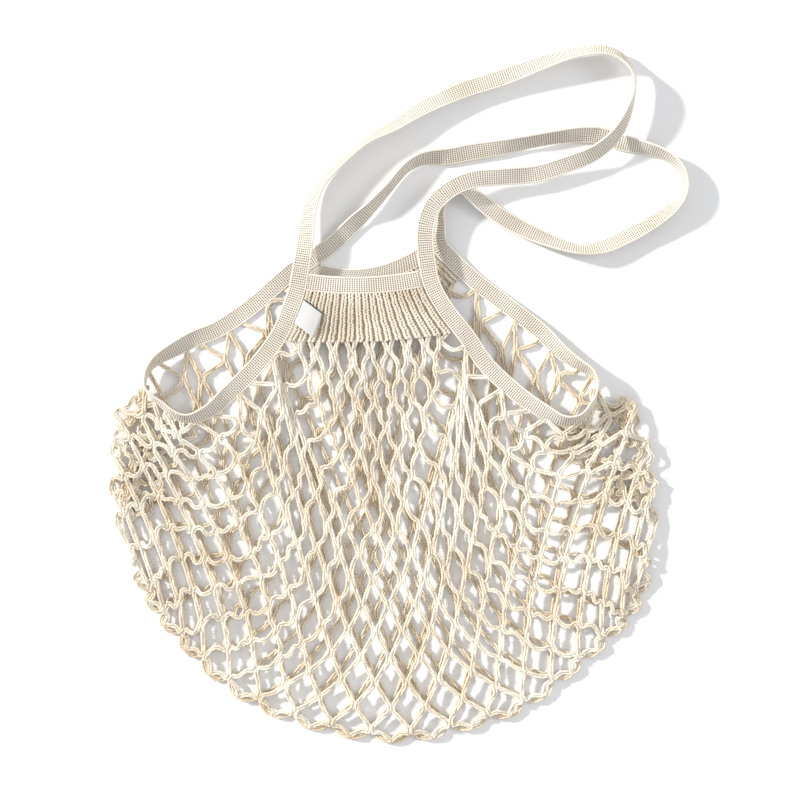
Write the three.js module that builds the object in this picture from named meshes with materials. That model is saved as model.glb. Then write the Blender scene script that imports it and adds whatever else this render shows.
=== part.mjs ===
// A knitted cotton string bag, laid flat with its front up and its two handles thrown to the right.
// Millimetres, +Z up. +Y points from the net's bottom to the mouth, +X to the viewer's right.
// The bag's own frame starts midway between the two front corners of the mouth, on the floor.

import * as THREE from 'three';

// Woven tape of the handles, the side bindings and the mouth
const tapeWidth = 13;
const tapeThickness = 1.4;
const sewingGap = 0.4; // left between two pieces that are sewn together
const netGap = 0.7; // left between the net's looser edge and what it hangs from

// Mouth and ribbed yoke
const mouthWidth = 95; // between the middles of the two side tapes
const yokeDepth = 37; // of the ribbed band, along the front tapes
const backYokeDepth = 22; // the same along the back tapes, which are spread wider
const yokeThickness = 3.6;
const ribHeight = 1.4;
const ribCount = 17;
const yokeSag = 3.5; // how far the middle of the front band hangs below its ends
const backYokeSag = 12;

// Net
const netWidth = 413; // of the net, laid flat, at its widest
const netDepth = 352; // from the front corners to the bottom of the net
const netThickness = 2.8;
const barWidth = 7; // of the net's meshed bars
const rimHeight = 3.2; // of the folded edge's middle above the floor
const netRise = 11; // by which the front wall stands up between the mouth and the folded edge

// How the parts lie
const frontLift = 11.6; // of the front layer's tapes above the floor
const sideReach = 115; // from a front corner out to the far end of a side opening
const leftWallEnd = 0.53; // share of the left side tape at which it stands on edge and the walls part
const rightWallEnd = 0.535; // the same on the right
const handleReach = 250; // unit of the two handles' routes

// Meshes of the net: a tube of columns, closed along the bottom fold
const columnsUnderYoke = 6;
const columnsOnSide = 4;
const wallColumns = columnsUnderYoke + 2 * columnsOnSide;
const tubeColumns = 2 * wallColumns;
const rowShares = [0, 0.09, 0.3, 0.53, 0.77, 1]; // how far down the wall each row of joints lies
const lastRow = rowShares.length - 1;
const mouthSteps = 6; // pieces of the net's upper edge between two columns

// Meshes of the tapes and bands
const bindingSteps = 64;
const handleSteps = 72;
const bandSteps = { across: 10, down: 4 };
const yokeDownSteps = 3;
const ribProfile = [0, 0.75, 1, 0.75]; // heights round one rib, as shares of ribHeight

// Label sewn to the front left tape
const labelHeight = 19;
const labelWidth = 14;
const labelThickness = 0.8;
const labelDrop = 19; // from the corner down the tape to the label's upper edge
const labelSlope = 0.75; // how far its free edge slips down, as a share of its width

const UP = new THREE.Vector3(0, 0, 1);
const radians = THREE.MathUtils.degToRad;

// Corners of the mouth, as shares of mouthWidth
const cornerPlaces = {
  frontLeft: [-0.5, -0.016],
  frontRight: [0.5, 0.016],
  backLeft: [-0.382, 0.11],
  backRight: [0.579, 0.268],
};

// Routes of the four lengths of tape, from their first corner to their last.
// along: share of the way between the two corners. x, y: offset from there, in shares of the reach.
// lift: how far the tape's lower edge is off the floor, in shares of the lift unit.
// roll: degrees that the tape is turned about its own run, 0 flat, 90 on edge.
const leftBindingRows = [
  { along: 0, x: 0, y: 0, lift: 1, roll: 0 },
  { along: 0.019, x: -0.012, y: -0.061, lift: 1, roll: 0 },
  { along: 0.041, x: -0.027, y: -0.128, lift: 1, roll: 0 },
  { along: 0.089, x: -0.08, y: -0.27, lift: 1, roll: 0 },
  { along: 0.142, x: -0.151, y: -0.426, lift: 1, roll: 0 },
  { along: 0.219, x: -0.295, y: -0.623, lift: 0.98, roll: 0 },
  { along: 0.269, x: -0.405, y: -0.739, lift: 0.92, roll: 6 },
  { along: 0.315, x: -0.513, y: -0.842, lift: 0.84, roll: 18 },
  { along: 0.359, x: -0.616, y: -0.937, lift: 0.74, roll: 38 },
  { along: 0.41, x: -0.764, y: -1.001, lift: 0.62, roll: 58 },
  { along: 0.441, x: -0.858, y: -0.979, lift: 0.6, roll: 64 },
  { along: 0.477, x: -0.947, y: -0.911, lift: 0.58, roll: 70 },
  { along: 0.509, x: -1.028, y: -0.855, lift: 0.55, roll: 78 },
  { along: 0.531, x: -1.063, y: -0.799, lift: 0.45, roll: 88 },
  { along: 0.564, x: -1.046, y: -0.704, lift: 0.36, roll: 102 },
  { along: 0.591, x: -0.997, y: -0.642, lift: 0.3, roll: 118 },
  { along: 0.639, x: -0.878, y: -0.569, lift: 0.18, roll: 146 },
  { along: 0.69, x: -0.746, y: -0.502, lift: 0.1, roll: 166 },
  { along: 0.736, x: -0.62, y: -0.455, lift: 0.08, roll: 176 },
  { along: 0.82, x: -0.413, y: -0.32, lift: 0.06, roll: 180 },
  { along: 0.941, x: -0.144, y: -0.092, lift: 0.06, roll: 180 },
  { along: 0.972, x: -0.069, y: -0.046, lift: 0.06, roll: 180 },
  { along: 1, x: 0, y: 0, lift: 0.06, roll: 180 },
];
const rightBindingRows = [
  { along: 0, x: 0, y: 0, lift: 1, roll: 0 },
  { along: 0.019, x: 0.009, y: -0.063, lift: 1, roll: 0 },
  { along: 0.04, x: 0.027, y: -0.132, lift: 1, roll: 0 },
  { along: 0.092, x: 0.105, y: -0.287, lift: 1, roll: 0 },
  { along: 0.163, x: 0.237, y: -0.477, lift: 1, roll: 0 },
  { along: 0.238, x: 0.369, y: -0.689, lift: 0.97, roll: 4 },
  { along: 0.329, x: 0.579, y: -0.904, lift: 0.88, roll: 14 },
  { along: 0.381, x: 0.712, y: -1.006, lift: 0.8, roll: 30 },
  { along: 0.434, x: 0.859, y: -1.088, lift: 0.68, roll: 54 },
  { along: 0.47, x: 0.967, y: -1.07, lift: 0.62, roll: 66 },
  { along: 0.502, x: 1.03, y: -0.998, lift: 0.58, roll: 72 },
  { along: 0.532, x: 1.061, y: -0.913, lift: 0.48, roll: 86 },
  { along: 0.557, x: 1.053, y: -0.84, lift: 0.4, roll: 98 },
  { along: 0.578, x: 1.012, y: -0.792, lift: 0.34, roll: 112 },
  { along: 0.606, x: 0.932, y: -0.753, lift: 0.26, roll: 128 },
  { along: 0.647, x: 0.825, y: -0.683, lift: 0.18, roll: 146 },
  { along: 0.705, x: 0.691, y: -0.565, lift: 0.1, roll: 164 },
  { along: 0.802, x: 0.443, y: -0.396, lift: 0.07, roll: 178 },
  { along: 0.88, x: 0.243, y: -0.262, lift: 0.06, roll: 180 },
  { along: 0.947, x: 0.082, y: -0.132, lift: 0.08, roll: 172 },
  { along: 0.971, x: 0.028, y: -0.082, lift: 0.1, roll: 162 },
  { along: 0.985, x: 0.007, y: -0.043, lift: 0.12, roll: 155 },
  { along: 1, x: 0, y: 0, lift: 0.14, roll: 150 },
];
const frontHandleRows = [
  { along: 0, x: 0, y: 0, lift: 0.89, roll: 0 },
  { along: 0.014, x: 0, y: 0.033, lift: 0.87, roll: 4 },
  { along: 0.029, x: 0, y: 0.066, lift: 0.75, roll: 15 },
  { along: 0.085, x: -0.002, y: 0.194, lift: 0.42, roll: 42 },
  { along: 0.118, x: 0.018, y: 0.263, lift: 0.25, roll: 60 },
  { along: 0.157, x: 0.066, y: 0.328, lift: 0.15, roll: 66 },
  { along: 0.198, x: 0.122, y: 0.391, lift: 0.13, roll: 60 },
  { along: 0.238, x: 0.188, y: 0.432, lift: 0.15, roll: 48 },
  { along: 0.277, x: 0.251, y: 0.48, lift: 0.22, roll: 32 },
  { along: 0.335, x: 0.352, y: 0.536, lift: 0.35, roll: 14 },
  { along: 0.39, x: 0.452, y: 0.574, lift: 0.42, roll: 8 },
  { along: 0.444, x: 0.551, y: 0.616, lift: 0.38, roll: 32 },
  { along: 0.488, x: 0.63, y: 0.645, lift: 0.42, roll: 50 },
  { along: 0.527, x: 0.705, y: 0.654, lift: 0.5, roll: 52 },
  { along: 0.552, x: 0.75, y: 0.629, lift: 0.55, roll: 62 },
  { along: 0.577, x: 0.773, y: 0.581, lift: 0.6, roll: 78 },
  { along: 0.598, x: 0.768, y: 0.533, lift: 0.62, roll: 84 },
  { along: 0.627, x: 0.739, y: 0.466, lift: 0.62, roll: 68 },
  { along: 0.658, x: 0.694, y: 0.403, lift: 0.62, roll: 48 },
  { along: 0.694, x: 0.617, y: 0.346, lift: 0.6, roll: 34 },
  { along: 0.732, x: 0.522, y: 0.312, lift: 0.55, roll: 18 },
  { along: 0.775, x: 0.41, y: 0.282, lift: 0.55, roll: 6 },
  { along: 0.817, x: 0.298, y: 0.272, lift: 0.65, roll: 20 },
  { along: 0.856, x: 0.193, y: 0.263, lift: 0.9, roll: 6 },
  { along: 0.885, x: 0.119, y: 0.238, lift: 1, roll: 0 },
  { along: 0.918, x: 0.049, y: 0.187, lift: 1, roll: 0 },
  { along: 0.946, x: 0.015, y: 0.127, lift: 0.98, roll: 0 },
  { along: 0.974, x: 0.002, y: 0.06, lift: 0.93, roll: 0 },
  { along: 1, x: 0, y: 0, lift: 0.89, roll: 0 },
];
const backHandleRows = [
  { along: 0, x: 0, y: 0, lift: 0.06, roll: 0 },
  { along: 0.018, x: 0.027, y: 0.021, lift: 0.06, roll: -6 },
  { along: 0.035, x: 0.05, y: 0.044, lift: 0.07, roll: -14 },
  { along: 0.066, x: 0.09, y: 0.092, lift: 0.1, roll: -24 },
  { along: 0.099, x: 0.132, y: 0.141, lift: 0.1, roll: -52 },
  { along: 0.137, x: 0.175, y: 0.202, lift: 0.06, roll: -66 },
  { along: 0.169, x: 0.211, y: 0.254, lift: 0.05, roll: -62 },
  { along: 0.195, x: 0.253, y: 0.279, lift: 0.05, roll: -45 },
  { along: 0.226, x: 0.31, y: 0.283, lift: 0.1, roll: -22 },
  { along: 0.262, x: 0.378, y: 0.296, lift: 0.12, roll: -15 },
  { along: 0.298, x: 0.446, y: 0.306, lift: 0.12, roll: -32 },
  { along: 0.335, x: 0.513, y: 0.319, lift: 0.1, roll: -46 },
  { along: 0.374, x: 0.586, y: 0.332, lift: 0.06, roll: -46 },
  { along: 0.41, x: 0.654, y: 0.338, lift: 0.03, roll: -28 },
  { along: 0.438, x: 0.707, y: 0.331, lift: 0.02, roll: -12 },
  { along: 0.463, x: 0.749, y: 0.311, lift: 0.02, roll: -22 },
  { along: 0.495, x: 0.809, y: 0.291, lift: 0.03, roll: -52 },
  { along: 0.525, x: 0.861, y: 0.265, lift: 0.03, roll: -62 },
  { along: 0.55, x: 0.891, y: 0.225, lift: 0.03, roll: -72 },
  { along: 0.572, x: 0.895, y: 0.176, lift: 0.03, roll: -74 },
  { along: 0.595, x: 0.868, y: 0.126, lift: 0.04, roll: -62 },
  { along: 0.628, x: 0.799, y: 0.076, lift: 0.05, roll: -40 },
  { along: 0.669, x: 0.703, y: 0.026, lift: 0.08, roll: -28 },
  { along: 0.712, x: 0.6, y: -0.016, lift: 0.1, roll: -36 },
  { along: 0.741, x: 0.524, y: -0.026, lift: 0.08, roll: -56 },
  { along: 0.774, x: 0.44, y: -0.01, lift: 0.06, roll: -45 },
  { along: 0.809, x: 0.355, y: 0.017, lift: 0.08, roll: -25 },
  { along: 0.845, x: 0.27, y: 0.051, lift: 0.1, roll: -12 },
  { along: 0.878, x: 0.195, y: 0.091, lift: 0.1, roll: -14 },
  { along: 0.905, x: 0.137, y: 0.126, lift: 0.06, roll: -34 },
  { along: 0.925, x: 0.091, y: 0.146, lift: 0.03, roll: -52 },
  { along: 0.944, x: 0.045, y: 0.126, lift: 0.03, roll: -58 },
  { along: 0.969, x: 0.015, y: 0.071, lift: 0.03, roll: -56 },
  { along: 0.985, x: 0.008, y: 0.034, lift: 0.08, roll: -42 },
  { along: 1, x: 0, y: 0, lift: 0.13, roll: -30 },
];

// Folded edge of the net, as shares of netWidth and netDepth
const leftFoldRows = [
  [-0.433, -0.264],
  [-0.453, -0.305],
  [-0.46, -0.371],
  [-0.463, -0.447],
];
const rightFoldRows = [
  [0.479, -0.269],
  [0.509, -0.33],
  [0.526, -0.424],
  [0.531, -0.5],
];
const bottomRows = [
  [-0.459, -0.507],
  [-0.429, -0.609],
  [-0.388, -0.713],
  [-0.337, -0.788],
  [-0.279, -0.859],
  [-0.212, -0.918],
  [-0.108, -0.969],
  [0.028, -0.999],
  [0.128, -0.992],
  [0.282, -0.937],
  [0.37, -0.862],
  [0.437, -0.793],
  [0.488, -0.728],
  [0.518, -0.643],
  [0.531, -0.554],
];

const colours = { tape: 0xded3be, rib: 0xdccdb2, net: 0xe3d2b4, label: 0xe9e7e2 };

function cottonMaterial(colour, roughness) {
  return new THREE.MeshStandardMaterial({ color: colour, roughness, metalness: 0 });
}

function namedMesh(name, geometry, material) {
  const mesh = new THREE.Mesh(geometry, material);
  mesh.name = name;
  return mesh;
}

function cornerPoint(name) {
  const [x, y] = cornerPlaces[name];
  return new THREE.Vector3(x * mouthWidth, y * mouthWidth, 0);
}

// Closed surface from corner points and the vertex numbers of its triangles
function closedGeometry(points, triangles) {
  const geometry = new THREE.BufferGeometry();
  const flat = points.flatMap((point) => [point.x, point.y, point.z]);
  geometry.setAttribute('position', new THREE.Float32BufferAttribute(flat, 3));
  geometry.setIndex(triangles.flat());
  geometry.computeVertexNormals();
  return geometry;
}

// A length of tape. side is 1 or -1: on which hand of the run, seen from above, its net edge lies.
function makeTape({ rows, from, to, reach, liftUnit, side }) {
  const start = cornerPoint(from);
  const end = cornerPoint(to);
  const route = rows.map(({ along, x, y, lift, roll }) => {
    const turn = radians(roll);
    const halfHeight = (tapeWidth * Math.abs(Math.sin(turn)) + tapeThickness * Math.abs(Math.cos(turn))) / 2;
    const point = new THREE.Vector3().lerpVectors(start, end, along);
    return point.add(new THREE.Vector3(x * reach, y * reach, halfHeight + lift * liftUnit));
  });
  const middle = new THREE.CatmullRomCurve3(route, false, 'centripetal');
  middle.arcLengthDivisions = 600;
  const length = middle.getLength();

  function rollAt(t) {
    const place = t * (rows.length - 1);
    const row = Math.min(Math.floor(place), rows.length - 2);
    return THREE.MathUtils.lerp(rows[row].roll, rows[row + 1].roll, place - row);
  }

  // Middle, width direction towards the net edge, and face direction, at a distance along the tape
  function frameAt(distance) {
    const t = middle.getUtoTmapping(distance / length);
    const forward = middle.getTangent(t);
    const level = new THREE.Vector3().crossVectors(UP, forward).normalize().multiplyScalar(side);
    const turn = radians(rollAt(t));
    const across = level.multiplyScalar(Math.cos(turn)).addScaledVector(UP, -Math.sin(turn));
    across.addScaledVector(forward, -across.dot(forward)).normalize();
    const face = new THREE.Vector3().crossVectors(forward, across).normalize();
    return { point: middle.getPoint(t), across, face };
  }

  // Where a neighbour's middle is sewn to the net edge, and which way its outer face looks there
  function seamAt(distance, gap = sewingGap) {
    const { point, across, face } = frameAt(distance);
    return {
      point: point.clone().addScaledVector(across, tapeWidth / 2 + gap),
      outward: face.clone().multiplyScalar(side),
    };
  }

  return { length, frameAt, seamAt };
}

function tapeGeometry(tape, steps) {
  const points = [];
  const triangles = [];
  const corners = [[-1, -1], [1, -1], [1, 1], [-1, 1]];
  for (let step = 0; step <= steps; step += 1) {
    const trimmed = THREE.MathUtils.lerp(sewingGap, tape.length - sewingGap, step / steps);
    const { point, across, face } = tape.frameAt(trimmed);
    for (const [a, f] of corners) {
      const corner = point.clone().addScaledVector(across, (a * tapeWidth) / 2);
      points.push(corner.addScaledVector(face, (f * tapeThickness) / 2));
    }
  }
  for (let step = 0; step < steps; step += 1) {
    for (let k = 0; k < 4; k += 1) {
      const a = step * 4 + k;
      const b = step * 4 + ((k + 1) % 4);
      triangles.push([a, b, b + 4], [a, b + 4, a + 4]);
    }
  }
  const last = steps * 4;
  triangles.push([0, 2, 1], [0, 3, 2], [last, last + 1, last + 2], [last, last + 2, last + 3]);
  return closedGeometry(points, triangles);
}

// Closed sheet between an upper and a lower surface, both given over q across and s down, 0 to 1
function sheetGeometry(acrossSteps, downSteps, upper, lower) {
  const points = [];
  const triangles = [];
  for (const surface of [upper, lower]) {
    for (let j = 0; j <= downSteps; j += 1) {
      for (let i = 0; i <= acrossSteps; i += 1) {
        points.push(surface(i / acrossSteps, j / downSteps));
      }
    }
  }
  const width = acrossSteps + 1;
  const layer = width * (downSteps + 1);
  for (let j = 0; j < downSteps; j += 1) {
    for (let i = 0; i < acrossSteps; i += 1) {
      const a = j * width + i;
      const b = a + width;
      triangles.push([a, b, a + 1], [a + 1, b, b + 1]);
      triangles.push([layer + a, layer + a + 1, layer + b], [layer + a + 1, layer + b + 1, layer + b]);
    }
  }
  const border = [];
  for (let i = 0; i < acrossSteps; i += 1) border.push([i, i + 1]);
  for (let j = 0; j < downSteps; j += 1) border.push([j * width + acrossSteps, (j + 1) * width + acrossSteps]);
  for (let i = acrossSteps; i > 0; i -= 1) border.push([downSteps * width + i, downSteps * width + i - 1]);
  for (let j = downSteps; j > 0; j -= 1) border.push([j * width, (j - 1) * width]);
  for (const [a, b] of border) {
    triangles.push([a, b, layer + b], [a, layer + b, layer + a]);
  }
  return closedGeometry(points, triangles);
}

// The four tapes
const leftBinding = makeTape({
  rows: leftBindingRows, from: 'frontLeft', to: 'backLeft', reach: sideReach, liftUnit: frontLift, side: 1,
});
const rightBinding = makeTape({
  rows: rightBindingRows, from: 'frontRight', to: 'backRight', reach: sideReach, liftUnit: frontLift, side: -1,
});
const frontHandle = makeTape({
  rows: frontHandleRows, from: 'frontLeft', to: 'frontRight', reach: handleReach, liftUnit: tapeWidth, side: 1,
});
const backHandle = makeTape({
  rows: backHandleRows, from: 'backLeft', to: 'backRight', reach: handleReach, liftUnit: tapeWidth, side: 1,
});

// The mouth's front and back: the side tapes carry them from both hands
const frontSide = {
  onTape: (tape, distance, gap) => tape.seamAt(distance, gap),
  depth: yokeDepth,
  sag: yokeSag,
  outward: UP,
};
const backSide = {
  onTape: (tape, distance, gap) => tape.seamAt(tape.length - distance, gap),
  depth: backYokeDepth,
  sag: backYokeSag,
  outward: UP.clone().negate(),
};

// Point of a layer sewn between the two side tapes: q across, distance down the tapes
function layerPoint(layer, q, distance, thickness) {
  const left = layer.onTape(leftBinding, distance).point;
  const right = layer.onTape(rightBinding, distance).point;
  const point = new THREE.Vector3().lerpVectors(left, right, q);
  point.y -= layer.sag * 4 * q * (1 - q);
  point.z = Math.max(point.z, thickness / 2);
  return point;
}

function bandGeometry(layer) {
  const surface = (level) => (q, s) => {
    const point = layerPoint(layer, q, sewingGap + s * tapeWidth, tapeThickness);
    point.z += (level * tapeThickness) / 2;
    return point;
  };
  return sheetGeometry(bandSteps.across, bandSteps.down, surface(1), surface(-1));
}

const yokeTop = tapeWidth + 2 * sewingGap; // distance from the corners down to the ribs

function yokeGeometry(layer) {
  const acrossSteps = ribCount * ribProfile.length;
  const surface = (level) => (q, s) => {
    const point = layerPoint(layer, q, yokeTop + s * layer.depth, yokeThickness);
    const rib = ribProfile[Math.round(q * acrossSteps) % ribProfile.length] * ribHeight;
    point.z += level > 0 ? yokeThickness / 2 - ribHeight + rib : -yokeThickness / 2;
    return point;
  };
  return sheetGeometry(acrossSteps, yokeDownSteps, surface(1), surface(-1));
}

// Net: its upper edge follows the tapes and the yoke, its lower edge the bottom fold
const foldCurve = (rows, first, last) => {
  const inner = rows.map(([x, y]) => new THREE.Vector3(x * netWidth, y * netDepth, rimHeight));
  return new THREE.CatmullRomCurve3([first, ...inner, last].filter(Boolean), false, 'centripetal');
};
const bottomFold = foldCurve(bottomRows);
const leftEnd = leftBinding.length * leftWallEnd;
const rightEnd = rightBinding.length * rightWallEnd;
const leftFold = foldCurve(leftFoldRows, leftBinding.seamAt(leftEnd, netGap).point, bottomFold.getPoint(0));
const rightFold = foldCurve(rightFoldRows, rightBinding.seamAt(rightEnd, netGap).point, bottomFold.getPoint(1));

// Upper edge of one wall of the net, column 0 to wallColumns from left to right
function netMouth(layer, column) {
  const underYoke = (column - columnsOnSide) / columnsUnderYoke;
  const down = yokeTop + layer.depth + netGap;
  if (underYoke >= 0 && underYoke <= 1) {
    return { point: layerPoint(layer, underYoke, down, netThickness), outward: layer.outward };
  }
  const onLeft = underYoke < 0;
  const tape = onLeft ? leftBinding : rightBinding;
  const end = onLeft ? leftEnd : rightEnd;
  const reachOfSide = layer === frontSide ? end : tape.length - end;
  const share = onLeft ? column / columnsOnSide : (wallColumns - column) / columnsOnSide;
  const seam = layer.onTape(tape, THREE.MathUtils.lerp(reachOfSide, down, share), netGap);
  seam.point.z = Math.max(seam.point.z, netThickness / 2);
  return seam;
}

// Share of the way down the wall at a row of joints, which may lie between two rows
function rowShare(row) {
  const upper = Math.min(Math.floor(row), lastRow - 1);
  return THREE.MathUtils.lerp(rowShares[upper], rowShares[upper + 1], row - upper);
}

// Point on the middle of the net's wall. column runs round the tube: front first, then back.
function netPoint(column, row) {
  const turned = (column + tubeColumns) % tubeColumns;
  const isFront = turned <= wallColumns;
  const layer = isFront ? frontSide : backSide;
  const ownColumn = isFront ? turned : tubeColumns - turned;
  const u = ownColumn / wallColumns;
  const v = rowShare(row);
  const mouth = netMouth(layer, ownColumn);
  const bottom = bottomFold.getPointAt(u);
  const point = new THREE.Vector3().lerpVectors(mouth.point, bottom, v);
  for (const [fold, weight] of [[leftFold, (1 - u) ** 3], [rightFold, u ** 3]]) {
    const straight = new THREE.Vector3().lerpVectors(fold.getPoint(0), fold.getPoint(1), v);
    const bulge = fold.getPointAt(v).sub(straight);
    point.x += bulge.x * weight;
    point.y += bulge.y * weight;
  }
  const onFold = ownColumn === 0 || ownColumn === wallColumns || row === lastRow;
  if (isFront && !onFold) {
    point.z += netRise * Math.sin(Math.PI * v) ** 0.7 * Math.sin(Math.PI * u) ** 0.5;
  } else if (!isFront && !onFold && row > 0) {
    point.z = netThickness / 2;
  }
  return { point, outward: row === 0 ? mouth.outward : null };
}

// Middle surface of the net: one ring of triangles round each diamond gap
function netSurface() {
  const points = [];
  const seamNormals = new Map();
  const numbers = new Map();
  const triangles = [];

  function vertex(column, row) {
    let turned = (column + tubeColumns) % tubeColumns;
    if (row === lastRow && turned > wallColumns) turned = tubeColumns - turned;
    const key = `${turned} ${row}`;
    if (!numbers.has(key)) {
      const { point, outward } = netPoint(turned, row);
      numbers.set(key, points.length);
      if (outward) seamNormals.set(points.length, outward);
      points.push(point);
    }
    return numbers.get(key);
  }

  // Half of a diamond's outline, from its upper joint to its lower one, by one side
  function halfOutline(column, row, hand) {
    return [
      [column, row - 1], [column + hand / 4, row - 0.5], [column + hand / 2, row],
      [column + hand / 4, row + 0.5], [column, row + 1],
    ];
  }

  function ringAroundGap(outline) {
    const centre = new THREE.Vector3();
    outline.forEach((number) => centre.add(points[number]));
    centre.divideScalar(outline.length);
    const [top, left, bottom, right] = [0, 2, 4, 6].map((corner) => points[outline[corner]]);
    const long = top.distanceTo(bottom);
    const wide = left.distanceTo(right);
    const inradius = (long * wide) / (2 * Math.hypot(long, wide));
    const open = Math.max(1 - barWidth / 2 / inradius, 0.2);
    const gap = outline.map((number) => {
      points.push(new THREE.Vector3().lerpVectors(centre, points[number], open));
      return points.length - 1;
    });
    outline.forEach((number, k) => {
      const next = (k + 1) % outline.length;
      triangles.push([number, outline[next], gap[next]], [number, gap[next], gap[k]]);
    });
  }

  for (let row = 1; row < lastRow; row += 1) {
    for (let step = 0; step < tubeColumns; step += 1) {
      const column = row % 2 === 1 ? step : step + 0.5;
      const left = halfOutline(column, row, -1);
      const right = halfOutline(column, row, 1).reverse().slice(1, -1);
      ringAroundGap([...left, ...right].map(([c, r]) => vertex(c, r)));
    }
  }

  // Gaps that the bottom fold runs through: half in the front wall, half in the back
  for (let column = 1; column < wallColumns; column += 1) {
    const front = (hand) => [[column + hand / 4, lastRow - 0.5], [column + hand / 2, lastRow]];
    const backColumn = tubeColumns - column;
    const back = (hand) => [[backColumn - hand / 4, lastRow - 0.5]];
    const outline = [
      [column, lastRow - 1], ...front(-1), ...back(-1),
      [backColumn, lastRow - 1], ...back(1), ...front(1).reverse(),
    ];
    ringAroundGap(outline.map(([c, r]) => vertex(c, r)));
  }

  // Closed strip under the mouth, one scallop for each column
  for (let column = 0; column < tubeColumns; column += 1) {
    const lower = [0.25, 0.5, 0.75].map((share) => vertex(column + share, 0.5));
    const joint = vertex(column + 0.5, 1);
    let hung = 0;
    for (let step = 0; step < mouthSteps; step += 1) {
      const here = vertex(column + step / mouthSteps, 0);
      const next = vertex(column + (step + 1) / mouthSteps, 0);
      const nearest = Math.floor((step * lower.length) / mouthSteps);
      if (nearest > hung) triangles.push([here, lower[hung], lower[nearest]]);
      hung = nearest;
      triangles.push([next, here, lower[hung]]);
    }
    triangles.push([lower[0], joint, lower[1]], [lower[1], joint, lower[2]]);
  }
  return { points, triangles, seamNormals };
}

// Wall of even thickness on both sides of a middle surface with open edges. seamNormals gives the
// outward direction of the points that are sewn to a neighbour.
function wallGeometry({ points, triangles, seamNormals }, thickness) {
  const normals = points.map(() => new THREE.Vector3());
  for (const [a, b, c] of triangles) {
    const ab = points[b].clone().sub(points[a]);
    const ac = points[c].clone().sub(points[a]);
    const weighted = ab.cross(ac);
    [a, b, c].forEach((number) => normals[number].add(weighted));
  }
  seamNormals.forEach((outward, number) => normals[number].copy(outward));
  normals.forEach((normal) => normal.normalize());
  const outer = points.map((point, k) => point.clone().addScaledVector(normals[k], thickness / 2));
  const inner = points.map((point, k) => point.clone().addScaledVector(normals[k], -thickness / 2));
  const count = points.length;
  const edges = new Set(triangles.flatMap(([a, b, c]) => [`${a} ${b}`, `${b} ${c}`, `${c} ${a}`]));
  const faces = triangles.flatMap(([a, b, c]) => [[a, b, c], [count + a, count + c, count + b]]);
  for (const edge of edges) {
    const [a, b] = edge.split(' ').map(Number);
    if (!edges.has(`${b} ${a}`)) {
      faces.push([b, a, count + a], [b, count + a, count + b]);
    }
  }
  return closedGeometry([...outer, ...inner], faces);
}

// Label: a small bare sheet whose one side is caught in the front left tape's seam
function labelGeometry() {
  const surface = (level) => (q, s) => {
    const { point } = leftBinding.seamAt(labelDrop + s * labelHeight);
    point.x += q * labelWidth;
    point.y -= q * labelWidth * labelSlope;
    point.z += yokeThickness / 2 + sewingGap + level * labelThickness;
    return point;
  };
  return sheetGeometry(2, 2, surface(1), surface(0));
}

const tapeCotton = cottonMaterial(colours.tape, 0.9);
const ribCotton = cottonMaterial(colours.rib, 0.95);
const netCotton = cottonMaterial(colours.net, 0.95);
const labelCloth = cottonMaterial(colours.label, 0.8);

const bag = new THREE.Group();
bag.add(
  namedMesh('net_body', wallGeometry(netSurface(), netThickness), netCotton),
  namedMesh('front_rib_yoke', yokeGeometry(frontSide), ribCotton),
  namedMesh('back_rib_yoke', yokeGeometry(backSide), ribCotton),
  namedMesh('front_top_band', bandGeometry(frontSide), tapeCotton),
  namedMesh('back_top_band', bandGeometry(backSide), tapeCotton),
  namedMesh('left_binding', tapeGeometry(leftBinding, bindingSteps), tapeCotton),
  namedMesh('right_binding', tapeGeometry(rightBinding, bindingSteps), tapeCotton),
  namedMesh('front_handle', tapeGeometry(frontHandle, handleSteps), tapeCotton),
  namedMesh('back_handle', tapeGeometry(backHandle, handleSteps), tapeCotton),
  namedMesh('label', labelGeometry(), labelCloth),
);

// The part's origin is under the middle of its outline, on the floor
const extent = new THREE.Box3().setFromObject(bag);
const middleOfBag = extent.getCenter(new THREE.Vector3());
bag.position.set(-middleOfBag.x, -middleOfBag.y, -extent.min.z);

export default bag;
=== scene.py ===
# A knitted cotton string bag, laid flat on a pale floor and seen from straight above.
# Lengths are worked out in millimetres and turned into metres when a mesh is made.

import itertools
import math

import bpy
import numpy as np
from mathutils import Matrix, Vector


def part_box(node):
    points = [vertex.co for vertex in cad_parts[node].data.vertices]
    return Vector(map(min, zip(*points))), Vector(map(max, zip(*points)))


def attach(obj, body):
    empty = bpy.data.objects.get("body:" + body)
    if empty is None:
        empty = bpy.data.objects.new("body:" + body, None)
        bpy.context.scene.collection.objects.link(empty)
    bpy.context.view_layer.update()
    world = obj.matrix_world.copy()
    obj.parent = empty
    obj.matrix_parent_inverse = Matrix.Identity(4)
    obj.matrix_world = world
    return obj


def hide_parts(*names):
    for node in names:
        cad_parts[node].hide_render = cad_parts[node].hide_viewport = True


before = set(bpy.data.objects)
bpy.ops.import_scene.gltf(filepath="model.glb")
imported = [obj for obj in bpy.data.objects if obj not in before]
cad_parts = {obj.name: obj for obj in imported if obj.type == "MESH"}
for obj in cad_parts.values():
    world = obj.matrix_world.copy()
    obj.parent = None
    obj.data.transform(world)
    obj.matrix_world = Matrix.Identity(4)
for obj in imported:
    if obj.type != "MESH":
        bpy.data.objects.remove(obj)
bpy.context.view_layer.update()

MM = 0.001
SEEDS = {"net": 7, "ribs": 9, "tuck": 12}
UP = np.array([0.0, 0.0, 1.0])
SPLINE_STEPS = 12  # between two given points of a smooth line
CLEARANCE = {"rib": 0.05, "net": 0.02}  # of the lowest points, above the floor

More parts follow.
